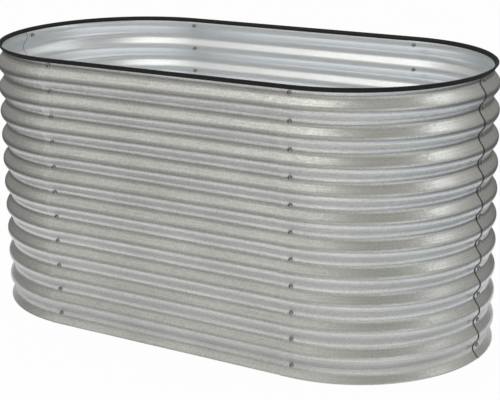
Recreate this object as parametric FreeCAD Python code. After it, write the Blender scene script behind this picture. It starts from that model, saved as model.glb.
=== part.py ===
import FreeCAD, Part
import math
import os

# An oval raised garden bed of corrugated galvanised sheet, open above and below: two straight side
# panels and four quarter-round corner panels, lapped and bolted at six seams, with a rubber strip
# pushed over the top edge.
#
# Frame: X along the bed, Y across it with the front at -Y, Z up from the ground. The origin lies on
# the ground under the middle of the bed. Lengths are in millimetres and angles in radians.

# Overall size, over the crests
BED_LENGTH = 1600.0
BED_WIDTH = 800.0

# Corrugated sheet, with its waves running round the bed
SHEET_THICKNESS = 0.8
WAVE_PITCH = 76.0
WAVE_DEPTH = 18.0
BEND_RADIUS = 21.0  # of each crest and valley, at the middle of the sheet
VALLEY_COUNT = 11
SHEET_BELOW = 30.0  # from the bottom edge up to the lowest valley
SHEET_ABOVE = 20.0  # from the highest valley up to the top edge

# Lapped seams, one at each tangent point of the oval and one in the middle of each round end. The
# left edge of each panel, seen from outside, lies over its neighbour.
LAP_WIDTH = 50.0
LAP_CLEARANCE = 0.1  # square to the flanks, where nested sheets come closest

# Pan-head bolts, one in each valley of each seam
BOLT_DIAMETER = 6.0
BOLT_END = 3.0  # bare thread past the nut
HEAD_DIAMETER = 12.0
HEAD_RIM = 1.6
HEAD_CROWN = 2.2  # rise of the domed top over the rim
BOLT_HOLE_CLEARANCE = 0.5  # all round the bolt

# Plain washers and hexagon nuts, inside the bed
WASHER_DIAMETER = 12.0
WASHER_THICKNESS = 1.2
WASHER_BORE_CLEARANCE = 0.3
NUT_ACROSS_FLATS = 10.0
NUT_HEIGHT = 5.0
THREAD_CLEARANCE = 0.05
SEAT_CLEARANCE = 0.1  # between faces that the bolts pull together

# Rubber strip on the top edge, a deep U that leans with the sheet
STRIP_WALL = 2.0
STRIP_CAP = 2.4  # rubber over the top edge of the sheet
STRIP_GRIP = 9.0  # how far its walls reach down past that edge
STRIP_CLEARANCE = 0.1
STRIP_ROUND = 1.8  # radius of its two upper edges
STRIP_JOINT = 90.0  # where its two ends meet, along the front
STRIP_JOINT_GAP = 1.5

UP = FreeCAD.Vector(0, 0, 1)
ORIGIN = FreeCAD.Vector(0, 0, 0)
SIDES_OF_NUT = 6
QUARTER_TURN = math.pi / 2
HALF_TURN = math.pi

# Outward directions, as angles about Z
FRONT = -QUARTER_TURN
RIGHT = 0.0
BACK = QUARTER_TURN


def flank_angle():
    """Lean of the straight flanks from the vertical, each tangent to the two bends it joins."""
    rise = WAVE_PITCH / 2
    across = 2 * BEND_RADIUS - WAVE_DEPTH
    between_centres = math.hypot(rise, across)
    return math.asin(2 * BEND_RADIUS / between_centres) - math.atan2(across, rise)


FLANK = flank_angle()
SHEET_HEIGHT = SHEET_BELOW + (VALLEY_COUNT - 1) * WAVE_PITCH + SHEET_ABOVE

# Two nested sheets lie this far apart, measured level, so that their flanks clear each other
LAP_STEP = (SHEET_THICKNESS + LAP_CLEARANCE) / math.cos(FLANK)

# The oval: two half circles about points on the X axis, joined by straight runs
HALF_STRAIGHT = (BED_LENGTH - BED_WIDTH) / 2
CREST_RADIUS = (BED_WIDTH - LAP_STEP - SHEET_THICKNESS) / 2  # at the middle of the sheet
VALLEY_RADIUS = CREST_RADIUS - WAVE_DEPTH

# How far each panel runs past the bolt lines of its seams, as a length and as a turn on the bends
LAP_REACH = LAP_WIDTH / 2
LAP_TURN = LAP_REACH / VALLEY_RADIUS

# Faces of the two lapped sheets at a valley, where the hardware seats
OUTER_FACE = VALLEY_RADIUS + (SHEET_THICKNESS + LAP_STEP) / 2
INNER_FACE = VALLEY_RADIUS - (SHEET_THICKNESS + LAP_STEP) / 2


def at(outward, up):
    """A point in the plane of the wall's section: distance outward from the X axis, and height."""
    return FreeCAD.Vector(outward, 0, up)


def rise_and_lean(height):
    """Distance of the sheet out from the valley line, and its lean, at a height over a valley."""
    bend_height = BEND_RADIUS * math.sin(FLANK)
    bend_rise = BEND_RADIUS * (1 - math.cos(FLANK))
    if height <= bend_height:
        lean = math.asin(height / BEND_RADIUS)
        return BEND_RADIUS * (1 - math.cos(lean)), lean
    if height <= WAVE_PITCH / 2 - bend_height:
        return bend_rise + (height - bend_height) * math.tan(FLANK), FLANK
    lean = math.asin((WAVE_PITCH / 2 - height) / BEND_RADIUS)
    return WAVE_DEPTH - BEND_RADIUS * (1 - math.cos(lean)), lean


def bend(centre, radius, side):
    """An arc of the section about centre, from lean to lean, on its outer (1) or inner (-1) side."""
    points = []
    for angle in (-FLANK, 0, FLANK):
        reach = side * radius * math.cos(angle)
        points.append(centre + at(reach, radius * math.sin(angle)))
    return Part.Arc(*points).toShape()


def sheet_face_line(offset):
    """Edges of one face of the sheet, offset outward from its middle, past both ends of the sheet."""
    edges = []
    for wave in range(-1, VALLEY_COUNT + 1):
        height = SHEET_BELOW + wave * WAVE_PITCH
        valley_centre = at(VALLEY_RADIUS + BEND_RADIUS, height)
        crest_centre = at(CREST_RADIUS - BEND_RADIUS, height + WAVE_PITCH / 2)
        valley = bend(valley_centre, BEND_RADIUS - offset, -1)
        crest = bend(crest_centre, BEND_RADIUS + offset, 1)
        if edges:
            edges.append(Part.makeLine(edges[-1].lastVertex().Point, valley.firstVertex().Point))
        edges.append(valley)
        edges.append(Part.makeLine(valley.lastVertex().Point, crest.firstVertex().Point))
        edges.append(crest)
    return edges


def sheet_section():
    """Section of the wall: one sheet, cut level at the ground and square at the top edge."""
    outer = sheet_face_line(SHEET_THICKNESS / 2)
    inner = sheet_face_line(-SHEET_THICKNESS / 2)
    bottom = Part.makeLine(outer[0].firstVertex().Point, inner[0].firstVertex().Point)
    top = Part.makeLine(outer[-1].lastVertex().Point, inner[-1].lastVertex().Point)
    endless = Part.Face(Part.Wire(Part.__sortEdges__(outer + inner + [bottom, top])))
    rise, lean = rise_and_lean(SHEET_ABOVE)
    near = VALLEY_RADIUS - WAVE_DEPTH
    far = CREST_RADIUS + WAVE_DEPTH
    edge = VALLEY_RADIUS + rise
    near_top = SHEET_HEIGHT + (edge - near) * math.tan(lean)
    far_top = SHEET_HEIGHT - (far - edge) * math.tan(lean)
    corners = [at(near, 0), at(far, 0), at(far, far_top), at(near, near_top), at(near, 0)]
    return endless.common(Part.Face(Part.makePolygon(corners))).Faces[0]


def strip_section():
    """Section of the rubber strip: a U with rounded upper edges, leaning with the sheet's top edge."""
    rise, lean = rise_and_lean(SHEET_ABOVE)
    half_slot = (SHEET_THICKNESS + LAP_STEP * math.cos(lean)) / 2 + STRIP_CLEARANCE
    half_width = half_slot + STRIP_WALL
    floor = LAP_STEP * math.sin(lean) / 2 + SEAT_CLEARANCE
    top = floor + STRIP_CAP
    corners = [
        at(-half_width, -STRIP_GRIP),
        at(-half_slot, -STRIP_GRIP),
        at(-half_slot, floor),
        at(half_slot, floor),
        at(half_slot, -STRIP_GRIP),
        at(half_width, -STRIP_GRIP),
        at(half_width, top - STRIP_ROUND),
    ]
    start = at(-half_width, top - STRIP_ROUND)
    edges = Part.makePolygon([start] + corners).Edges
    diagonal = STRIP_ROUND * math.sin(QUARTER_TURN / 2)
    for side in (1, -1):
        centre = at(side * (half_width - STRIP_ROUND), top - STRIP_ROUND)
        middle = centre + at(side * diagonal, diagonal)
        low = at(side * half_width, top - STRIP_ROUND)
        high = centre + at(0, STRIP_ROUND)
        edges.append(Part.Arc(low, middle, high).toShape())
    level = half_width - STRIP_ROUND
    edges.append(Part.makeLine(at(level, top), at(-level, top)))
    face = Part.Face(Part.Wire(Part.__sortEdges__(edges)))
    leaning = face.rotated(ORIGIN, FreeCAD.Vector(0, 1, 0), math.degrees(lean))
    return leaning.translated(at(VALLEY_RADIUS + rise, SHEET_HEIGHT))


def facing(shape, outward, along):
    """A shape made in the section's plane, turned to face outward and moved along the X axis."""
    turned = shape.rotated(ORIGIN, UP, math.degrees(outward))
    return turned.translated(FreeCAD.Vector(along, 0, 0))


def straight_run(section, outward, along, length):
    """The section drawn in a straight line, anticlockwise round the bed."""
    run = FreeCAD.Vector(-math.sin(outward), math.cos(outward), 0) * length
    return facing(section, outward, along).extrude(run)


def round_run(section, outward, centre, sweep):
    """The section turned about an upright axis on the X axis, anticlockwise."""
    axis = FreeCAD.Vector(centre, 0, 0)
    return facing(section, outward, centre).revolve(axis, UP, math.degrees(sweep))


def joined(runs):
    """One solid from runs that meet end to end."""
    return runs[0].fuse(runs[1:]).removeSplitter().Solids[0]


def half_turned(shape):
    """The same piece on the opposite side of the bed."""
    return shape.rotated(ORIGIN, UP, math.degrees(HALF_TURN))


def side_panel(section):
    """Front panel: straight, with both ends drawn round the bends as far as the laps reach."""
    wall = joined([
        straight_run(section, FRONT, -HALF_STRAIGHT, 2 * HALF_STRAIGHT),
        round_run(section, FRONT - LAP_TURN, -HALF_STRAIGHT, LAP_TURN),
        round_run(section, FRONT, HALF_STRAIGHT, LAP_TURN),
    ])
    # turned just enough that its left edge comes out over one neighbour and its right edge goes in
    # under the other
    return wall.rotated(ORIGIN, UP, math.degrees(LAP_STEP / 2 / HALF_STRAIGHT))


def nested_corner(wall, outward):
    """A corner panel that starts at outward, moved out there and in at its other end."""
    start = FreeCAD.Vector(math.cos(outward), math.sin(outward), 0)
    end = FreeCAD.Vector(-math.sin(outward), math.cos(outward), 0)
    return wall.translated((start - end) * (LAP_STEP / 2))


def front_corner_panel(section):
    """Front right panel: over the front panel at one end and under the next corner at the other."""
    wall = joined([
        straight_run(section, FRONT, HALF_STRAIGHT - LAP_REACH, LAP_REACH),
        round_run(section, FRONT, HALF_STRAIGHT, QUARTER_TURN + LAP_TURN),
    ])
    return nested_corner(wall, FRONT)


def back_corner_panel(section):
    """Back right panel: over the front corner at one end and under the back panel at the other."""
    wall = joined([
        round_run(section, RIGHT - LAP_TURN, HALF_STRAIGHT, LAP_TURN + QUARTER_TURN),
        straight_run(section, BACK, HALF_STRAIGHT, LAP_REACH),
    ])
    return nested_corner(wall, RIGHT)


def edge_strip(section):
    """The whole rubber strip, in one length from its joint round the bed and back to it."""
    gap = STRIP_JOINT_GAP / 2
    return joined([
        straight_run(section, FRONT, STRIP_JOINT + gap, HALF_STRAIGHT - STRIP_JOINT - gap),
        round_run(section, FRONT, HALF_STRAIGHT, HALF_TURN),
        straight_run(section, BACK, HALF_STRAIGHT, 2 * HALF_STRAIGHT),
        round_run(section, BACK, -HALF_STRAIGHT, HALF_TURN),
        straight_run(section, FRONT, -HALF_STRAIGHT, HALF_STRAIGHT + STRIP_JOINT - gap),
    ])


def head_standoff():
    """Gap left under the middle of a flat bolt head whose rim rests on the sides of a valley."""
    groove = BEND_RADIUS - SHEET_THICKNESS / 2
    return groove - math.sqrt(groove ** 2 - (HEAD_DIAMETER / 2) ** 2)


def bolt():
    """Pan-head bolt on the X axis, its head outward, seated for a seam."""
    seat = OUTER_FACE + head_standoff() + SEAT_CLEARANCE
    tip = INNER_FACE - SEAT_CLEARANCE - WASHER_THICKNESS - NUT_HEIGHT - BOLT_END
    rim = seat + HEAD_RIM
    radius = HEAD_DIAMETER / 2
    # the dome is a circle through both edges of the rim and the crown
    dome_radius = (radius ** 2 + HEAD_CROWN ** 2) / (2 * HEAD_CROWN)
    half_way = math.asin(radius / dome_radius) / 2
    sink = dome_radius * (1 - math.cos(half_way))
    shoulder = at(rim + HEAD_CROWN - sink, dome_radius * math.sin(half_way))
    crown = at(rim + HEAD_CROWN, 0)
    outline = Part.makePolygon([
        crown,
        at(tip, 0),
        at(tip, BOLT_DIAMETER / 2),
        at(seat, BOLT_DIAMETER / 2),
        at(seat, radius),
        at(rim, radius),
    ])
    dome = Part.Arc(at(rim, radius), shoulder, crown).toShape()
    half_section = Part.Face(Part.Wire(outline.Edges + [dome]))
    return half_section.revolve(ORIGIN, FreeCAD.Vector(1, 0, 0), math.degrees(2 * HALF_TURN))


def rod(start, length, radius):
    """A round bar along the X axis."""
    return Part.makeCylinder(radius, length, at(start, 0), FreeCAD.Vector(1, 0, 0))


def washer():
    """Plain washer against the inner face of the wall."""
    start = INNER_FACE - SEAT_CLEARANCE - WASHER_THICKNESS
    bore = BOLT_DIAMETER / 2 + WASHER_BORE_CLEARANCE
    disc = rod(start, WASHER_THICKNESS, WASHER_DIAMETER / 2)
    return disc.cut(rod(start, WASHER_THICKNESS, bore))


def nut():
    """Hexagon nut tight on the washer."""
    start = INNER_FACE - SEAT_CLEARANCE - WASHER_THICKNESS - NUT_HEIGHT
    corner_radius = NUT_ACROSS_FLATS / 2 / math.cos(HALF_TURN / SIDES_OF_NUT)
    corners = []
    for corner in range(SIDES_OF_NUT + 1):
        turn = 2 * HALF_TURN * corner / SIDES_OF_NUT
        across = corner_radius * math.cos(turn)
        up = corner_radius * math.sin(turn)
        corners.append(FreeCAD.Vector(start, across, up))
    hexagon = Part.Face(Part.makePolygon(corners)).extrude(at(NUT_HEIGHT, 0))
    return hexagon.cut(rod(start, NUT_HEIGHT, BOLT_DIAMETER / 2 + THREAD_CLEARANCE))


def drill():
    """What a bolt hole takes out of both sheets of a seam."""
    return rod(INNER_FACE - WAVE_DEPTH, 2 * WAVE_DEPTH, BOLT_DIAMETER / 2 + BOLT_HOLE_CLEARANCE)


def up_the_seam(piece, outward):
    """A piece repeated in every valley of the right half's seam that faces outward."""
    copies = []
    for wave in range(VALLEY_COUNT):
        height = at(0, SHEET_BELOW + wave * WAVE_PITCH)
        copies.append(facing(piece, outward, HALF_STRAIGHT).translated(height))
    return Part.makeCompound(copies)


def panels():
    """The six panels, drilled at both of their seams."""
    section = sheet_section()
    front_holes = up_the_seam(drill(), FRONT)
    end_holes = up_the_seam(drill(), RIGHT)
    back_holes = up_the_seam(drill(), BACK)
    side = side_panel(section).cut([half_turned(back_holes), front_holes]).Solids[0]
    front_corner = front_corner_panel(section).cut([front_holes, end_holes]).Solids[0]
    back_corner = back_corner_panel(section).cut([end_holes, back_holes]).Solids[0]
    return {
        "front_side_panel": side,
        "front_right_corner_panel": front_corner,
        "back_right_corner_panel": back_corner,
        "back_side_panel": half_turned(side),
        "back_left_corner_panel": half_turned(front_corner),
        "front_left_corner_panel": half_turned(back_corner),
    }


def seam_hardware():
    """Bolts, washers and nuts of the six seams, each kind of each seam in one group."""
    groups = {}
    opposite = (("front_right", FRONT, "back_left"), ("right_end", RIGHT, "left_end"),
                ("back_right", BACK, "front_left"))
    for kind, piece in (("bolts", bolt()), ("washers", washer()), ("nuts", nut())):
        for name, outward, other_name in opposite:
            group = up_the_seam(piece, outward)
            groups[f"{name}_seam_{kind}"] = group
            groups[f"{other_name}_seam_{kind}"] = half_turned(group)
    return groups


def main():
    os.makedirs("parts", exist_ok=True)
    nodes = panels()
    nodes.update(seam_hardware())
    nodes["rim_edge_strip"] = edge_strip(strip_section())
    for name, shape in nodes.items():
        shape.exportStep(f"parts/{name}.step")


main()
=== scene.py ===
import math

import bpy
from mathutils import Matrix, Vector, noise


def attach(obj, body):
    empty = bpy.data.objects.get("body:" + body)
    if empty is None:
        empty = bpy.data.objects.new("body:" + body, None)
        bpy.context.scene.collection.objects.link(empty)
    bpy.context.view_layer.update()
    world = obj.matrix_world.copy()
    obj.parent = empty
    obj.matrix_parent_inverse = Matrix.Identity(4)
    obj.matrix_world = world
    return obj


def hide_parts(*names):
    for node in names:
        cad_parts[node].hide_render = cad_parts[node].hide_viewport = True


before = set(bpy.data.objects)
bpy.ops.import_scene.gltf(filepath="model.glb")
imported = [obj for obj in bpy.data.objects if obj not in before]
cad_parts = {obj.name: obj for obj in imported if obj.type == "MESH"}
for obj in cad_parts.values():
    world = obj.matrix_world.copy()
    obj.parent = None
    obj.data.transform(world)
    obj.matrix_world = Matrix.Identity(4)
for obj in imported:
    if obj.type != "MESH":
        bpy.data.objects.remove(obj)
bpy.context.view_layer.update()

# An oval raised bed of corrugated galvanised sheet. Lengths are in metres and angles in radians.
# Heights are up from the ground, and "out" is the distance from the bed's middle line, which lies on
# the X axis between the centres of its two round ends.

# Overall size and sheet
LENGTH = 1.6
WIDTH = 0.8
SHEET = 0.0008
PITCH = 0.076
DEPTH = 0.018
BEND = 0.021
VALLEYS = 11
LOWEST_VALLEY = 0.030
ABOVE_HIGHEST_VALLEY = 0.020

# Laps and bolted seams
LAP_REACH = 0.025
LAP_GAP = 0.0001
SEAT_GAP = 0.0001

# Bolts and nuts
BOLT_RADIUS = 0.003
BOLT_END = 0.003
THREAD_PITCH = 0.001
THREAD_DEPTH = 0.0004
HEAD_RADIUS = 0.006
HEAD_RIM = 0.0016
HEAD_CROWN = 0.0022
RECESS_REACH = 0.0031
RECESS_HALF_WIDTH = 0.0007
RECESS_DEPTH = 0.0021
WASHER = 0.0012
NUT_FLATS = 0.010
NUT_HEIGHT = 0.005
NUT_BORE = 0.00305
NUT_CHAMFER = math.radians(30)
NUT_RIM_SHARE = 0.97  # of half the flats, where the chamfer starts

# Rubber strip
STRIP_WALL = 0.002
STRIP_CAP = 0.0030
STRIP_GRIP = 0.011
STRIP_GAP = 0.0001
STRIP_ROUND = 0.0018
STRIP_LIP_ROUND = 0.0007
STRIP_JOINT = 0.090
STRIP_JOINT_GAP = 0.0015

# Fineness of the meshes
BEND_STEPS = 6
TURN_STEP = math.radians(2.25)
STRAIGHT_STEP = 0.02
STRIP_ROUND_STEPS = 5
HEAD_SECTORS = 32
NUT_SECTORS = 24
CREASE = math.radians(38)
# Rings of a bolt's head as shares of its radius, close together where the cross recess is
HEAD_RINGS = (0.04, 0.10, 0.16, 0.23, 0.3, 0.38, 0.46, 0.54, 0.65, 0.8, 0.92, 1.0)

QUARTER = math.pi / 2
HEXAGON_SIDE = math.pi / 3
FRONT = -QUARTER
RIGHT = 0.0
BACK = QUARTER
LEFT = math.pi

RANDOM_SEED = 7


def flank_lean():
    """Lean of the straight flanks, each tangent to the bends above and below it."""
    across = 2 * BEND - DEPTH
    centres = math.hypot(PITCH / 2, across)
    return math.asin(2 * BEND / centres) - math.atan2(across, PITCH / 2)


FLANK = flank_lean()
HEIGHT = LOWEST_VALLEY + (VALLEYS - 1) * PITCH + ABOVE_HIGHEST_VALLEY
LAP_STEP = (SHEET + LAP_GAP) / math.cos(FLANK)
HALF_STRAIGHT = (LENGTH - WIDTH) / 2
CREST = (WIDTH - LAP_STEP - SHEET) / 2
VALLEY = CREST - DEPTH
OUTER_FACE = VALLEY + (SHEET + LAP_STEP) / 2
INNER_FACE = VALLEY - (SHEET + LAP_STEP) / 2
BEND_RISE = BEND * (1 - math.cos(FLANK))
TOP_EDGE = VALLEY + BEND_RISE + (ABOVE_HIGHEST_VALLEY - BEND * math.sin(FLANK)) * math.tan(FLANK)


# ---- plan of the wall -------------------------------------------------------------------------

def straight_stations(outward, start, length):
    """Upright lines along a straight wall, anticlockwise: (place on the X axis, outward angle)."""
    count = max(1, math.ceil(abs(length) / STRAIGHT_STEP))
    run = -math.sin(outward)
    return [(start + run * length * step / count, outward) for step in range(count + 1)]


def round_stations(outward, centre, sweep):
    """Upright lines round a bend of the wall, anticlockwise."""
    count = max(1, round(sweep / TURN_STEP))
    return [(centre, outward + sweep * step / count) for step in range(count + 1)]


def chained(*runs):
    """One row of stations from runs that meet, without the doubled ones."""
    row = list(runs[0])
    for run in runs[1:]:
        row.extend(run[1:])
    return row


def on_wall(station, out, up):
    """The point at a station of the wall, so far out and so high."""
    centre, outward = station
    return Vector((centre + out * math.cos(outward), out * math.sin(outward), up))


def half_turned(stations):
    """The same run on the opposite side of the bed."""
    return [(-centre, outward + math.pi) for centre, outward in stations]


# ---- meshes -----------------------------------------------------------------------------------

def mesh_object(name, vertices, faces, slots, face_slots=None):
    """A smooth-shaded object with hard edges where its faces meet at more than the crease."""
    mesh = bpy.data.meshes.new(name)
    mesh.from_pydata(vertices, [], faces)
    for material in slots:
        mesh.materials.append(material)
    if face_slots:
        mesh.polygons.foreach_set("material_index", face_slots)
    mesh.polygons.foreach_set("use_smooth", [True] * len(faces))
    mesh.set_sharp_from_angle(angle=CREASE)
    mesh.update()
    thing = bpy.data.objects.new(name, mesh)
    bpy.context.scene.collection.objects.link(thing)
    return thing


def dress(thing, slot, *nodes):
    """Puts a finished piece in place of its CAD nodes."""
    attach(thing, "root")
    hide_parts(*nodes)


def face_line(offset):
    """One face of the wall's section from the ground to the top edge, as (out, up)."""
    line = []
    for index in range(2 * VALLEYS):
        up = LOWEST_VALLEY + (index - 1) * PITCH / 2
        side = 1 if index % 2 == 0 else -1
        radius = BEND + side * offset
        centre = CREST - BEND if side > 0 else VALLEY + BEND
        low = -FLANK if index else math.asin(-up / radius)
        for step in range(BEND_STEPS + 1):
            angle = low + (FLANK - low) * step / BEND_STEPS
            line.append((centre + side * radius * math.cos(angle), up + radius * math.sin(angle)))
    line.append((TOP_EDGE + offset * math.cos(FLANK), HEIGHT - offset * math.sin(FLANK)))
    return line


# The sheet isn't quite true between its seams: it sways in and out by this much
SWAY = 0.0006
SWAY_SIZE = 0.16
SWAY_STILL = 0.06  # from each end of a panel
SWAY_FULL = 0.20
SWAY_STILL_TOP = 0.015  # from the top edge, which the strip holds
SWAY_FULL_TOP = 0.09

# The free edge of a lap springs out a little past its bolts, and its cut end is coloured near black, painted
# shade for the dark line of the gap under it
LAP_SPRING = 0.0011
LAP_SPRING_REACH = 0.013


def eased(value, low, high):
    """A share that rises smoothly from 0 at the low value to 1 at the high one."""
    share = min(1.0, max(0.0, (value - low) / (high - low)))
    return share * share * (3 - 2 * share)


def swayed(station, out, up, from_end, from_over_end):
    """A point of the wall, moved in or out by the unevenness of the sheet and the spring of its lap."""
    point = on_wall(station, out, up)
    from_top = HEIGHT - up
    held = eased(from_end, SWAY_STILL, SWAY_FULL) * eased(from_top, SWAY_STILL_TOP, SWAY_FULL_TOP)
    spring = LAP_SPRING * (1 - eased(from_over_end, 0, LAP_SPRING_REACH))
    spring *= eased(from_top, SWAY_STILL_TOP, 2 * SWAY_STILL_TOP)
    amount = SWAY * held * noise.noise(point / SWAY_SIZE) + spring
    return on_wall(station, out + amount, up)


def walked(stations):
    """Distance of each station along the wall from the first."""
    distances = [0.0]
    for before, after in zip(stations, stations[1:]):
        step = on_wall(after, VALLEY, 0) - on_wall(before, VALLEY, 0)
        distances.append(distances[-1] + step.length)
    return distances


def panel(name, stations, settle, materials):
    """A corrugated panel: both faces of the sheet, its cut bottom and top, and its two ends.

    It starts at the end that lies over its neighbour. The materials are those of its outer face,
    its inner face and its cut edges.
    """
    lines = (face_line(SHEET / 2), face_line(-SHEET / 2))
    rows = len(lines[0])
    distances = walked(stations)
    vertices = []
    for station, distance in zip(stations, distances):
        from_end = min(distance, distances[-1] - distance)
        for line in lines:
            for out, up in line:
                vertices.append(settle @ swayed(station, out, up, from_end, distance))
    faces = []
    face_slots = []
    for column in range(len(stations) - 1):
        outer = 2 * rows * column
        inner = outer + rows
        step = 2 * rows
        for row in range(rows - 1):
            low, high = outer + row, outer + row + 1
            faces.append((low, low + step, high + step, high))
            low, high = inner + row, inner + row + 1
            faces.append((low, high, high + step, low + step))
            face_slots += [0, 1]
        top_outer, top_inner = outer + rows - 1, inner + rows - 1
        faces.append((outer, inner, inner + step, outer + step))
        faces.append((top_outer, top_outer + step, top_inner + step, top_inner))
        face_slots += [2, 2]
    last = 2 * rows * (len(stations) - 1)
    for row in range(rows - 1):
        faces.append((row, row + 1, rows + row + 1, rows + row))
        faces.append((last + row, last + rows + row, last + rows + row + 1, last + row + 1))
        face_slots += [2, 2]
    thing = mesh_object(name.replace("panel", "sheet"), vertices, faces, materials, face_slots)
    dress(thing, "galvanised_sheet", name)


def nested(outward):
    """A corner panel stands out by half a lap step where it starts and in by the same where it ends."""
    start = Vector((math.cos(outward), math.sin(outward), 0))
    end = Vector((-math.sin(outward), math.cos(outward), 0))
    return Matrix.Translation((start - end) * LAP_STEP / 2)


def build_panels(materials):
    """The two side panels and the four corner panels."""
    lap_turn = LAP_REACH / VALLEY
    side = chained(
        round_stations(FRONT - lap_turn, -HALF_STRAIGHT, lap_turn),
        straight_stations(FRONT, -HALF_STRAIGHT, 2 * HALF_STRAIGHT),
        round_stations(FRONT, HALF_STRAIGHT, lap_turn),
    )
    front_corner = chained(
        straight_stations(FRONT, HALF_STRAIGHT - LAP_REACH, LAP_REACH),
        round_stations(FRONT, HALF_STRAIGHT, QUARTER + lap_turn),
    )
    back_corner = chained(
        round_stations(RIGHT - lap_turn, HALF_STRAIGHT, lap_turn + QUARTER),
        straight_stations(BACK, HALF_STRAIGHT, LAP_REACH),
    )
    turned = Matrix.Rotation(LAP_STEP / 2 / HALF_STRAIGHT, 4, "Z")
    panel("front_side_panel", side, turned, materials)
    panel("front_right_corner_panel", front_corner, nested(FRONT), materials)
    panel("back_right_corner_panel", back_corner, nested(RIGHT), materials)
    panel("back_side_panel", half_turned(side), turned, materials)
    panel("back_left_corner_panel", half_turned(front_corner), nested(BACK), materials)
    panel("front_left_corner_panel", half_turned(back_corner), nested(LEFT), materials)


# ---- rubber strip -----------------------------------------------------------------------------

def rounded(centre, radius):
    """Points of a quarter arc in the section, from its side up to its top, as (across, up)."""
    points = []
    for step in range(STRIP_ROUND_STEPS + 1):
        angle = QUARTER * step / STRIP_ROUND_STEPS
        points.append((centre[0] + radius * math.cos(angle), centre[1] + radius * math.sin(angle)))
    return points


def strip_outline():
    """Section of the strip, a U open below, anticlockwise, as (out, up) leaning with the sheet."""
    half_slot = (SHEET + LAP_STEP * math.cos(FLANK)) / 2 + STRIP_GAP
    half_width = half_slot + STRIP_WALL
    roof = LAP_STEP * math.sin(FLANK) / 2 + SEAT_GAP
    top = roof + STRIP_CAP
    lip = STRIP_LIP_ROUND
    outline = []
    for side in (1, -1):
        wall = [
            (side * half_slot, roof),
            (side * half_slot, -STRIP_GRIP + lip),
        ]
        wall += [(side * (half_slot + lip - lip * math.cos(turn)), -STRIP_GRIP + lip - lip * math.sin(turn))
                 for turn in (QUARTER / 2, QUARTER)]
        wall += [(side * (half_width - lip + lip * math.sin(turn)), -STRIP_GRIP + lip - lip * math.cos(turn))
                 for turn in (0, QUARTER / 2, QUARTER)]
        shoulder = (half_width - STRIP_ROUND, top - STRIP_ROUND)
        wall += [(side * across, up) for across, up in rounded(shoulder, STRIP_ROUND)]
        outline += wall if side > 0 else wall[::-1]
    cos, sin = math.cos(FLANK), math.sin(FLANK)
    return [(TOP_EDGE + across * cos + up * sin, HEIGHT + up * cos - across * sin) for across, up in outline]


def build_strip(material):
    """One length of strip from its joint at the front, round the bed and back to the joint."""
    gap = STRIP_JOINT_GAP / 2
    stations = chained(
        straight_stations(FRONT, STRIP_JOINT + gap, HALF_STRAIGHT - STRIP_JOINT - gap),
        round_stations(FRONT, HALF_STRAIGHT, math.pi),
        straight_stations(BACK, HALF_STRAIGHT, 2 * HALF_STRAIGHT),
        round_stations(BACK, -HALF_STRAIGHT, math.pi),
        straight_stations(FRONT, -HALF_STRAIGHT, HALF_STRAIGHT + STRIP_JOINT - gap),
    )
    outline = strip_outline()
    around = len(outline)
    vertices = [on_wall(station, out, up) for station in stations for out, up in outline]
    faces = []
    for column in range(len(stations) - 1):
        for corner in range(around):
            here = column * around + corner
            after = column * around + (corner + 1) % around
            faces.append((here, here + around, after + around, after))
    last = around * (len(stations) - 1)
    faces.append(tuple(range(around)))
    faces.append(tuple(last + corner for corner in reversed(range(around))))
    thing = mesh_object("rim_strip", vertices, faces, [material])
    along = thing.data.attributes.new("along", "FLOAT", "POINT")
    along.data.foreach_set("value", [distance for distance in walked(stations) for _ in outline])
    dress(thing, "rubber_strip", "rim_edge_strip")


# ---- bolts and nuts ---------------------------------------------------------------------------

def head_standoff():
    """Gap under the middle of a flat head whose rim rests on the sides of a valley."""
    groove = BEND - SHEET / 2
    return groove - math.sqrt(groove ** 2 - HEAD_RADIUS ** 2)


def recess(radius, turn):
    """Depth of the cross recess in the head, at a radius and a turn about the bolt."""
    across = abs(radius * math.sin(turn))
    along = abs(radius * math.cos(turn))
    half = min(across, along)
    reach = max(across, along)
    if half > RECESS_HALF_WIDTH or reach > RECESS_REACH:
        return 0.0
    return RECESS_DEPTH * (1 - eased(reach, RECESS_REACH / 2, RECESS_REACH))


def lathe(rings, sectors):
    """Faces between rings of vertices, each ring with one vertex for each sector."""
    faces = []
    for ring in range(rings - 1):
        for sector in range(sectors):
            here = ring * sectors + sector
            after = ring * sectors + (sector + 1) % sectors
            faces.append((here, after, after + sectors, here + sectors))
    return faces


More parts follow.
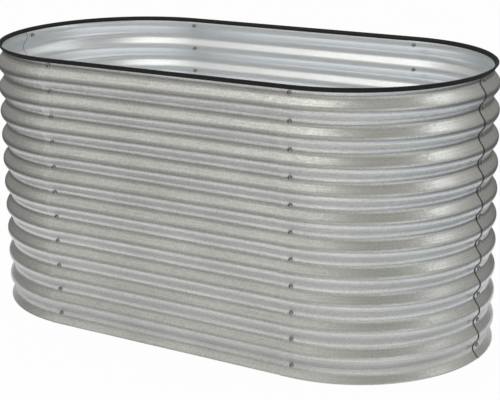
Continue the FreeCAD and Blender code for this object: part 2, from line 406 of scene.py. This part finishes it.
def bolt_shape():
    """Pan-head bolt along the X axis, head outward: its vertices and faces."""
    seat = OUTER_FACE + head_standoff() + SEAT_GAP
    rim = seat + HEAD_RIM
    tip = INNER_FACE - SEAT_GAP - WASHER - NUT_HEIGHT - BOLT_END
    dome_radius = (HEAD_RADIUS ** 2 + HEAD_CROWN ** 2) / (2 * HEAD_CROWN)
    dome_centre = rim + HEAD_CROWN - dome_radius
    profile = []
    for share in HEAD_RINGS:
        radius = HEAD_RADIUS * share
        profile.append((radius, dome_centre + math.sqrt(dome_radius ** 2 - radius ** 2), True))
    profile.append((HEAD_RADIUS, seat, False))
    profile.append((BOLT_RADIUS, seat, False))
    thread_start = INNER_FACE
    turns = int((thread_start - tip) / THREAD_PITCH)
    for turn in range(turns):
        crest = thread_start - turn * THREAD_PITCH
        profile.append((BOLT_RADIUS, crest, False))
        profile.append((BOLT_RADIUS - THREAD_DEPTH, crest - THREAD_PITCH / 2, False))
    profile.append((BOLT_RADIUS - THREAD_DEPTH, tip, False))
    vertices = []
    for radius, out, domed in profile:
        for sector in range(HEAD_SECTORS):
            turn = 2 * math.pi * sector / HEAD_SECTORS
            depth = recess(radius, turn) if domed else 0.0
            vertices.append(Vector((out - depth, radius * math.cos(turn), radius * math.sin(turn))))
    faces = lathe(len(profile), HEAD_SECTORS)
    last = HEAD_SECTORS * (len(profile) - 1)
    faces.append(tuple(range(HEAD_SECTORS))[::-1])
    faces.append(tuple(last + sector for sector in range(HEAD_SECTORS)))
    return vertices, faces


def nut_shape():
    """Hexagon nut on the X axis, with chamfered corners: its vertices and faces."""
    low = INNER_FACE - SEAT_GAP - WASHER - NUT_HEIGHT
    high = low + NUT_HEIGHT
    flat = NUT_FLATS / 2
    chamfer_start = flat * NUT_RIM_SHARE
    vertices = []
    rings = ((low, 1, "bore"), (low, 1, "rim"), (low, 1, "corner"), (high, -1, "corner"),
             (high, -1, "rim"), (high, -1, "bore"))
    for out, inward, kind in rings:
        for sector in range(NUT_SECTORS):
            turn = 2 * math.pi * sector / NUT_SECTORS
            from_flat = (turn + HEXAGON_SIDE / 2) % HEXAGON_SIDE - HEXAGON_SIDE / 2
            radius = {"bore": NUT_BORE, "rim": chamfer_start}.get(kind, flat / math.cos(from_flat))
            drop = (radius - chamfer_start) * math.tan(NUT_CHAMFER) if kind == "corner" else 0.0
            vertices.append(Vector((out + inward * drop, radius * math.cos(turn), radius * math.sin(turn))))
    faces = [tuple(reversed(face)) for face in lathe(len(rings), NUT_SECTORS)]
    last = NUT_SECTORS * (len(rings) - 1)
    for sector in range(NUT_SECTORS):
        after = (sector + 1) % NUT_SECTORS
        faces.append((sector, after, last + after, last + sector))
    return vertices, faces


# Each seam: outward direction and place along the X axis
SEAMS = {
    "front_left": (FRONT, -HALF_STRAIGHT),
    "front_right": (FRONT, HALF_STRAIGHT),
    "right_end": (RIGHT, HALF_STRAIGHT),
    "back_right": (BACK, HALF_STRAIGHT),
    "back_left": (BACK, -HALF_STRAIGHT),
    "left_end": (LEFT, -HALF_STRAIGHT),
}


def up_the_seams(kind, shape, material):
    """A piece of hardware repeated in every valley of every seam, each turned at random."""
    for seam, (outward, along) in SEAMS.items():
        vertices = []
        faces = []
        for valley in range(VALLEYS):
            spin = noise.random_unit_vector().x * math.pi
            place = Matrix.Translation((along, 0, LOWEST_VALLEY + valley * PITCH))
            place = place @ Matrix.Rotation(outward, 4, "Z") @ Matrix.Rotation(spin, 4, "X")
            first = len(vertices)
            vertices += [place @ corner for corner in shape[0]]
            faces += [tuple(first + corner for corner in face) for face in shape[1]]
        thing = mesh_object(f"{seam}_{kind}", vertices, faces, [material])
        dress(thing, "zinc_plated_hardware", f"{seam}_seam_{kind}")


# ---- finishes ---------------------------------------------------------------------------------

def add(tree, kind, inputs=None, **settings):
    """A shader node with its settings, its input values and the links into it."""
    made = tree.nodes.new(kind)
    for key, value in settings.items():
        setattr(made, key, value)
    for key, value in (inputs or {}).items():
        if isinstance(value, bpy.types.NodeSocket):
            tree.links.new(value, made.inputs[key])
        else:
            made.inputs[key].default_value = value
    return made


def measured(tree, kind, *values, **settings):
    """The result of a sum of two values, or of a function of one."""
    return add(tree, "ShaderNodeMath", dict(enumerate(values)), operation=kind, **settings).outputs[0]


def pointed(tree, kind, *values):
    """The vector that comes of one or two others."""
    return add(tree, "ShaderNodeVectorMath", dict(enumerate(values)), operation=kind).outputs[0]


def scaled(tree, vector, factor):
    """A vector made so many times as long."""
    inputs = {0: vector, "Scale": factor}
    return add(tree, "ShaderNodeVectorMath", inputs, operation="SCALE").outputs[0]


def remapped(tree, value, ends, results):
    """A value that goes from the first result to the second as the one given goes between the ends."""
    return add(tree, "ShaderNodeMapRange", dict(enumerate((value, *ends, *results)))).outputs[0]


MIX_COLOURS = (6, 7)  # the sockets of a mix node that take its two colours
MIX_RESULT = 2  # the one that gives the colour between them


def mixed(tree, share, *colours):
    """A colour between two, each given as a socket or as red, green and blue."""
    inputs = {0: share}
    for place, colour in zip(MIX_COLOURS, colours):
        inputs[place] = colour if isinstance(colour, bpy.types.NodeSocket) else (*colour, 1)
    return add(tree, "ShaderNodeMix", inputs, data_type="RGBA").outputs[MIX_RESULT]


def clouds(tree, place, scale, detail):
    """Soft random patches, so many to the metre."""
    return add(tree, "ShaderNodeTexNoise", {"Vector": place, "Scale": scale, "Detail": detail}).outputs[0]


def object_place(tree):
    """Where a point lies on its object, in metres."""
    return add(tree, "ShaderNodeTexCoord").outputs["Object"]


def new_group(name, inputs, outputs):
    """An empty node group with named inputs (with their usual values) and outputs."""
    tree = bpy.data.node_groups.new(name, "ShaderNodeTree")
    for label, value in inputs.items():
        socket = tree.interface.new_socket(label, in_out="INPUT", socket_type="NodeSocketFloat")
        socket.default_value = value
    for label, kind in outputs.items():
        tree.interface.new_socket(label, in_out="OUTPUT", socket_type=kind)
    return tree, tree.nodes.new("NodeGroupInput").outputs, tree.nodes.new("NodeGroupOutput").inputs


WHOLE = (0.0, 1.0)
MIDDLE_COLOUR = (0.5, 0.5, 0.5)

# Crystals of the zinc
SPANGLE_CELLS = 360.0  # to the metre
SPANGLE_LEAN = 0.09
SPANGLE_WANDER = 1.2  # how far their borders wander, in crystals
SPANGLE_DETAIL = 1.0

# Streaks that the forming rolls leave
STREAKS_ALONG = 5.0  # to the metre
STREAKS_ACROSS = 700.0
STREAK_DETAIL = 3.0
STREAK_HEIGHT = 0.0002


def spangle_group():
    """Zinc crystals: a small random lean of the surface and a random tone in each."""
    tree, given, result = new_group(
        "zinc_spangle", {"Cells": SPANGLE_CELLS, "Lean": SPANGLE_LEAN},
        {"Normal": "NodeSocketVector", "Tone": "NodeSocketFloat"},
    )
    place = object_place(tree)
    wander = add(tree, "ShaderNodeTexNoise",
                 {"Vector": place, "Scale": given["Cells"], "Detail": SPANGLE_DETAIL})
    middle = pointed(tree, "SUBTRACT", wander.outputs["Color"], MIDDLE_COLOUR)
    reach = measured(tree, "DIVIDE", SPANGLE_WANDER, given["Cells"])
    warped = pointed(tree, "ADD", place, scaled(tree, middle, reach))
    cells = add(tree, "ShaderNodeTexVoronoi", {"Vector": warped, "Scale": given["Cells"]}).outputs["Color"]
    lean = scaled(tree, pointed(tree, "SUBTRACT", cells, MIDDLE_COLOUR), given["Lean"])
    surface = add(tree, "ShaderNodeNewGeometry").outputs["Normal"]
    leaning = pointed(tree, "NORMALIZE", pointed(tree, "ADD", surface, lean))
    tone = add(tree, "ShaderNodeSeparateColor", {0: cells}).outputs[0]
    tree.links.new(leaning, result["Normal"])
    tree.links.new(tone, result["Tone"])
    return tree


def streak_group():
    """Faint level streaks that the forming rolls leave along the waves."""
    tree, given, result = new_group(
        "roll_streaks", {"Along": STREAKS_ALONG, "Across": STREAKS_ACROSS},
        {"Streak": "NodeSocketFloat"},
    )
    stretch = add(tree, "ShaderNodeCombineXYZ", {0: given["Along"], 1: given["Along"], 2: given["Across"]})
    drawn = pointed(tree, "MULTIPLY", object_place(tree), stretch.outputs[0])
    tree.links.new(clouds(tree, drawn, 1.0, STREAK_DETAIL), result["Streak"])
    return tree


def new_material(name):
    """A material with its node tree and its Principled shader."""
    material = bpy.data.materials.new(name)
    material.use_nodes = True
    tree = material.node_tree
    return material, tree, tree.nodes["Principled BSDF"]


def grouped(tree, group, **values):
    """A node group placed in a material with its own values."""
    made = add(tree, "ShaderNodeGroup", node_tree=group)
    for label, value in values.items():
        made.inputs[label].default_value = value
    return made.outputs


def finish(tree, shader, colour, roughness, normal=None, **levels):
    """Links what changes over the surface to the shader, and sets what doesn't."""
    tree.links.new(colour, shader.inputs["Base Color"])
    if isinstance(roughness, bpy.types.NodeSocket):
        tree.links.new(roughness, shader.inputs["Roughness"])
    else:
        shader.inputs["Roughness"].default_value = roughness
    if normal is not None:
        tree.links.new(normal, shader.inputs["Normal"])
    for label, value in levels.items():
        shader.inputs[label].default_value = value


# The two faces of the sheet: the colours and roughness of its dark and light crystals, the lean of
# the crystals, how strongly its streaks stand out, and how metallic it is
OUTSIDE_FACE = {
    "dark": (0.58, 0.58, 0.56),
    "light": (0.83, 0.83, 0.80),
    "roughness": (0.38, 0.28),
    "lean": SPANGLE_LEAN,
    "streak_strength": 0.35,
    "metallic": 1.0,
}
# Painted light: the inner face is coloured lighter and cooler than the outer face, standing in for the light
# that falls on the inside of the bed
INSIDE_FACE_PAINTED_LIGHTER = {
    "dark": (0.77, 0.792, 0.806),
    "light": (0.85, 0.872, 0.886),
    "roughness": (0.36, 0.30),
    "lean": 0.03,
    "streak_strength": 0.3,
    "metallic": 0.75,
}
CLOUD_SCALE = 5.0
CLOUD_DETAIL = 3.0
CLOUD_ENDS = (0.3, 0.7)
CLOUD_SHIFT = (-0.15, 0.15)
CRYSTAL_TONES = (0.2, 0.8)
STREAK_ENDS = (0.35, 0.65)
STREAK_SHIFT = (-0.3, 0.3)


def sheet_finish(name, groups, dark, light, roughness, lean, streak_strength, metallic):
    """Galvanised sheet: crystals of slightly different lean, tone and gloss, with roll streaks."""
    material, tree, shader = new_material(name)
    spangle = grouped(tree, groups["spangle"], Cells=SPANGLE_CELLS, Lean=lean)
    streak = grouped(tree, groups["streaks"], Along=STREAKS_ALONG, Across=STREAKS_ACROSS)["Streak"]
    cloud = clouds(tree, object_place(tree), CLOUD_SCALE, CLOUD_DETAIL)
    tone = remapped(tree, spangle["Tone"], WHOLE, CRYSTAL_TONES)
    drift = remapped(tree, cloud, CLOUD_ENDS, CLOUD_SHIFT)
    lines = remapped(tree, streak, STREAK_ENDS, STREAK_SHIFT)
    share = measured(tree, "ADD", tone, measured(tree, "ADD", drift, lines), use_clamp=True)
    bump = add(tree, "ShaderNodeBump", {"Strength": streak_strength, "Distance": STREAK_HEIGHT,
                                        "Height": streak, "Normal": spangle["Normal"]})
    finish(tree, shader, mixed(tree, share, dark, light), remapped(tree, share, WHOLE, roughness),
           bump.outputs[0], Metallic=metallic)
    return material


# Painted shade: the cut edges are coloured near black to stand in for the shadow in the gaps of the laps
EDGE_DARK = (0.05, 0.05, 0.05)
EDGE_LIGHT = (0.16, 0.16, 0.15)
EDGE_SCALE = 90.0
EDGE_DETAIL = 3.0
EDGE_METALLIC = 0.6
EDGE_ROUGHNESS = 0.6


def cut_edge_finish():
    """Sheared edges of the sheet: bare steel, coloured near black as painted shade for the dark line at the
    lap gaps.
    """
    material, tree, shader = new_material("sheared_edge_painted_shade")
    patches = clouds(tree, object_place(tree), EDGE_SCALE, EDGE_DETAIL)
    finish(tree, shader, mixed(tree, patches, EDGE_DARK, EDGE_LIGHT), EDGE_ROUGHNESS, Metallic=EDGE_METALLIC)
    return material


PLATING_DARK = (0.30, 0.30, 0.29)
PLATING_LIGHT = (0.46, 0.46, 0.44)
PLATING_ROUGHNESS = (0.16, 0.26)
PLATING_GRAINS = 1400.0  # to the metre
PLATING_LEAN = 0.12


def hardware_finish(groups):
    """Zinc-plated steel, darker than the sheet, with a fine grain."""
    material, tree, shader = new_material("zinc_plating")
    grain = grouped(tree, groups["spangle"], Cells=PLATING_GRAINS, Lean=PLATING_LEAN)
    finish(tree, shader, mixed(tree, grain["Tone"], PLATING_DARK, PLATING_LIGHT),
           remapped(tree, grain["Tone"], WHOLE, PLATING_ROUGHNESS), grain["Normal"], Metallic=1.0)
    return material


RUBBER_DARK = (0.003, 0.003, 0.003)
RUBBER_LIGHT = (0.012, 0.012, 0.012)
RUBBER_ROUGHNESS = (0.42, 0.6)
RUBBER_SHINE = 0.25
DUST_SCALE = 60.0
DUST_DETAIL = 4.0
DUST_ENDS = (0.3, 0.7)
RIB_PITCH = 0.003
RIB_HEIGHT = 0.0003
RIB_STRENGTH = 0.35


def rubber_finish():
    """Dull black rubber with fine ribs across it and a faint bloom of dust."""
    material, tree, shader = new_material("ribbed_rubber")
    along = add(tree, "ShaderNodeAttribute", attribute_name="along").outputs["Fac"]
    ribs = measured(tree, "SINE", measured(tree, "MULTIPLY", along, 2 * math.pi / RIB_PITCH))
    dust = clouds(tree, object_place(tree), DUST_SCALE, DUST_DETAIL)
    bump = add(tree, "ShaderNodeBump", {"Strength": RIB_STRENGTH, "Distance": RIB_HEIGHT, "Height": ribs})
    levels = {"Specular IOR Level": RUBBER_SHINE}
    finish(tree, shader, mixed(tree, dust, RUBBER_DARK, RUBBER_LIGHT),
           remapped(tree, dust, DUST_ENDS, RUBBER_ROUGHNESS), bump.outputs[0], **levels)
    return material


# ---- studio -----------------------------------------------------------------------------------

WHITE = (1.0, 1.0, 1.0)
WARM = (1.0, 0.992, 0.955)
COOL = (0.94, 0.98, 1.0)

FLOOR_RADIUS = 14.0
FLOOR_SIDES = 96
FLOOR_PAINT = 0.8
WHITE_SHARE = 0.96  # how much of the floor's white stays in the bed's shadow

# The floor that the metal reflects glows there as a painted reflection: white inside the bed, darkened at
# the foot of the wall outside as a painted shadow, pale in a ring round it, palest in a painted pool of
# light at the front right, and dim far away
FOOT_LEVEL = 0.65
FOOT_REACH = 0.35  # from the wall
RING_LEVEL = 0.88
RING_END = 0.48  # from the wall
RING_FADE = 1.20  # from the wall
FAR_LEVEL = 0.10
POOL = (0.65, -1.25, 0.0)
POOL_LEVEL = 1.0
POOL_FALL = 0.32  # for each metre from its middle

# The painted reflection is faintly cool, and cooler beyond the right end of the bed
NEAR_TINT = (0.965, 0.98, 1.0)
RIGHT_TINT = (0.85, 0.905, 1.0)
TINT_ENDS = (0.85, 1.35)  # along the X axis


def painted_floor_reflection(tree, place):
    """How pale the painted reflection makes each place of the floor look in the metal."""
    from_pool = add(tree, "ShaderNodeVectorMath", {0: place, 1: POOL}, operation="DISTANCE").outputs["Value"]
    painted_light_pool = measured(tree, "SUBTRACT", POOL_LEVEL, measured(tree, "MULTIPLY", from_pool, POOL_FALL))
    axes = add(tree, "ShaderNodeSeparateXYZ", {0: place}).outputs
    past_straight = measured(tree, "SUBTRACT", measured(tree, "ABSOLUTE", axes["X"]), HALF_STRAIGHT)
    along = measured(tree, "MAXIMUM", past_straight, 0.0)
    squares = measured(tree, "ADD", measured(tree, "MULTIPLY", along, along),
                       measured(tree, "MULTIPLY", axes["Y"], axes["Y"]))
    out = measured(tree, "SUBTRACT", measured(tree, "SQRT", squares), CREST)
    ring = remapped(tree, out, (RING_END, RING_FADE), (RING_LEVEL, FAR_LEVEL))
    # Painted shadow: the glow the metal sees is dimmed at the foot of the wall
    painted_foot_shadow = remapped(tree, out, (0.0, FOOT_REACH), (FOOT_LEVEL, 1.0))
    outside = measured(tree, "MULTIPLY", measured(tree, "MAXIMUM", ring, painted_light_pool), painted_foot_shadow)
    within = measured(tree, "LESS_THAN", out, 0.0)
    return measured(tree, "MINIMUM", measured(tree, "MAXIMUM", outside, within), 1.0)


def painted_reflection_tint(tree, place):
    """The colour of the painted reflection at each place of the floor."""
    along = add(tree, "ShaderNodeSeparateXYZ", {0: place}).outputs["X"]
    return mixed(tree, remapped(tree, along, TINT_ENDS, WHOLE), NEAR_TINT, RIGHT_TINT)


def floor():
    """A plain round floor. It is seen white with a faint shadow, and for the metal it glows with a painted
    reflection that dims away.
    """
    vertices = [(0, 0, 0)]
    for side in range(FLOOR_SIDES):
        turn = 2 * math.pi * side / FLOOR_SIDES
        vertices.append((FLOOR_RADIUS * math.cos(turn), FLOOR_RADIUS * math.sin(turn), 0))
    faces = [(0, 1 + side, 1 + (side + 1) % FLOOR_SIDES) for side in range(FLOOR_SIDES)]
    material = bpy.data.materials.new("floor_paint_and_painted_reflection")
    material.use_nodes = True
    tree = material.node_tree
    tree.nodes.clear()
    place = object_place(tree)
    light_path = add(tree, "ShaderNodeLightPath").outputs
    seen = measured(tree, "MAXIMUM", light_path["Is Camera Ray"], light_path["Is Transmission Ray"])
    # Painted reflection: for glossy rays the floor glows in the pattern above, with its painted shadow and
    # painted pool of light
    painted_reflection_glow = measured(tree, "MULTIPLY", light_path["Is Glossy Ray"], painted_floor_reflection(tree, place))
    in_view = measured(tree, "MULTIPLY", seen, WHITE_SHARE)
    glow = measured(tree, "MAXIMUM", in_view, painted_reflection_glow)
    painted = measured(tree, "SUBTRACT", 1.0, measured(tree, "MAXIMUM", seen, light_path["Is Glossy Ray"]))
    paint = remapped(tree, painted, WHOLE, (1 - WHITE_SHARE, FLOOR_PAINT))
    lit = add(tree, "ShaderNodeBsdfDiffuse", {"Color": paint})
    tint = mixed(tree, seen, painted_reflection_tint(tree, place), WHITE)
    glowing = add(tree, "ShaderNodeEmission", {"Color": tint, "Strength": glow})
    both = add(tree, "ShaderNodeAddShader", {0: lit.outputs[0], 1: glowing.outputs[0]})
    add(tree, "ShaderNodeOutputMaterial", {"Surface": both.outputs[0]})
    thing = mesh_object("studio_floor", vertices, faces, [material])


# The studio round the bed. Low down it is palest on the front right, and high up on the back left.
# Heights are those of a direction, from 0 at the level to 1 overhead.
PALE_SIDE = (0.77, -0.64, 0.0)
SIDE_ENDS = (-0.3, 0.8)  # how far a direction faces that side
LOW_LEVELS = (0.28, 0.62)
HIGH_LEVELS = (0.86, 0.26)
WALL_HEIGHTS = (0.36, 0.68)
CEILING_HEIGHTS = (0.88, 1.0)
CEILING_LEVEL = 1.1


def surroundings():
    """The studio round the bed, which the metal sees in soft levels. It is seen white."""
    world = bpy.data.worlds.new("studio")
    bpy.context.scene.world = world
    world.use_nodes = True
    tree = world.node_tree
    tree.nodes.clear()
    direction = add(tree, "ShaderNodeTexCoord").outputs["Generated"]
    turned = add(tree, "ShaderNodeVectorMath", {0: direction, 1: PALE_SIDE}, operation="DOT_PRODUCT")
    facing = turned.outputs["Value"]
    height = add(tree, "ShaderNodeSeparateXYZ", {0: direction}).outputs["Z"]
    low = remapped(tree, facing, SIDE_ENDS, LOW_LEVELS)
    high = remapped(tree, facing, SIDE_ENDS, HIGH_LEVELS)
    walls = remapped(tree, height, WALL_HEIGHTS, (low, high))
    level = remapped(tree, height, CEILING_HEIGHTS, (walls, CEILING_LEVEL))
    light_path = add(tree, "ShaderNodeLightPath").outputs
    seen = measured(tree, "MAXIMUM", light_path["Is Camera Ray"], light_path["Is Transmission Ray"])
    strength = measured(tree, "MAXIMUM", level, seen)
    sky = add(tree, "ShaderNodeBackground", {"Color": mixed(tree, seen, WARM, WHITE), "Strength": strength})
    add(tree, "ShaderNodeOutputWorld", {"Surface": sky.outputs[0]})


AIM = Vector((0, 0, 0.456))  # the point that the lamps and the camera look at

# Each softbox: azimuth and elevation in degrees, width and height, glow and colour
SOFTBOXES = {
    "key_softbox": (-24, 66, (3.0, 2.0), 1.3, WARM),
    "side_softbox": (102, 34, (0.9, 1.7), 1.0, COOL),
    "back_softbox": (135, 54, (2.6, 1.8), 0.5, COOL),
    "low_softbox": (66, 7, (2.2, 0.9), 0.25, COOL),
}
SOFTBOX_DISTANCE = 4.0


def bearing(azimuth, elevation):
    """A direction away from the bed. Azimuth 0 is in front of it and a quarter turn is its right."""
    level = math.cos(elevation)
    return Vector((math.sin(azimuth) * level, -math.cos(azimuth) * level, math.sin(elevation)))


def softbox(name, azimuth, elevation, size, glow, colour):
    """A flat soft lamp aimed at the bed."""
    away = bearing(math.radians(azimuth), math.radians(elevation))
    lamp = bpy.data.lights.new(name, "AREA")
    lamp.shape = "RECTANGLE"
    lamp.size, lamp.size_y = size
    lamp.energy = glow * math.pi * size[0] * size[1]
    lamp.color = colour
    thing = bpy.data.objects.new(name, lamp)
    thing.location = AIM + away * SOFTBOX_DISTANCE
    thing.rotation_euler = away.to_track_quat("Z", "Y").to_euler()
    bpy.context.scene.collection.objects.link(thing)


# Where the photograph was taken from
CAMERA_AZIMUTH = 0.5603
CAMERA_ELEVATION = 0.2661
CAMERA_ROLL = -0.0184
CAMERA_DISTANCE = 4.179
SENSOR_WIDTH = 36.0  # in millimetres
PICTURE_WIDTH = 500.0
PICTURE_HEIGHT = 400.0
FOCAL_PIXELS = 1382.07
AXIS_PIXEL = (237.89, 163.80)  # where the lens axis meets the picture, from its top left corner


def camera():
    """The camera that took the photograph, with its lens axis off the middle of the picture."""
    back = bearing(CAMERA_AZIMUTH, CAMERA_ELEVATION)
    right = Vector((math.cos(CAMERA_AZIMUTH), math.sin(CAMERA_AZIMUTH), 0))
    turned = Matrix.Rotation(CAMERA_ROLL, 3, back) @ Matrix((right, back.cross(right), back)).transposed()
    lens = bpy.data.cameras.new("camera")
    lens.sensor_width = SENSOR_WIDTH
    lens.lens = FOCAL_PIXELS * SENSOR_WIDTH / PICTURE_WIDTH
    lens.shift_x = (PICTURE_WIDTH / 2 - AXIS_PIXEL[0]) / PICTURE_WIDTH
    lens.shift_y = (AXIS_PIXEL[1] - PICTURE_HEIGHT / 2) / PICTURE_WIDTH
    thing = bpy.data.objects.new("camera", lens)
    thing.matrix_world = Matrix.Translation(AIM + back * CAMERA_DISTANCE) @ turned.to_4x4()
    bpy.context.scene.collection.objects.link(thing)
    bpy.context.scene.camera = thing


def studio():
    """The floor, the surroundings and the lamps, in the plain view transform."""
    floor()
    surroundings()
    for name, values in SOFTBOXES.items():
        softbox(name, *values)
    bpy.context.scene.view_settings.view_transform = "Standard"


noise.seed_set(RANDOM_SEED)
groups = {"spangle": spangle_group(), "streaks": streak_group()}
outside = sheet_finish("galvanised_outside", groups, **OUTSIDE_FACE)
# The inner face's material holds painted light: it is coloured lighter and cooler than the outer face
inside = sheet_finish("galvanised_inside_painted_lighter", groups, **INSIDE_FACE_PAINTED_LIGHTER)
plating = hardware_finish(groups)
build_panels([outside, inside, cut_edge_finish()])
build_strip(rubber_finish())
up_the_seams("bolts", bolt_shape(), plating)
up_the_seams("nuts", nut_shape(), plating)
for seam in SEAMS:
    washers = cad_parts[f"{seam}_seam_washers"]
    washers.data.materials.clear()
    washers.data.materials.append(plating)
studio()
camera()

bpy.context.view_layer.update()
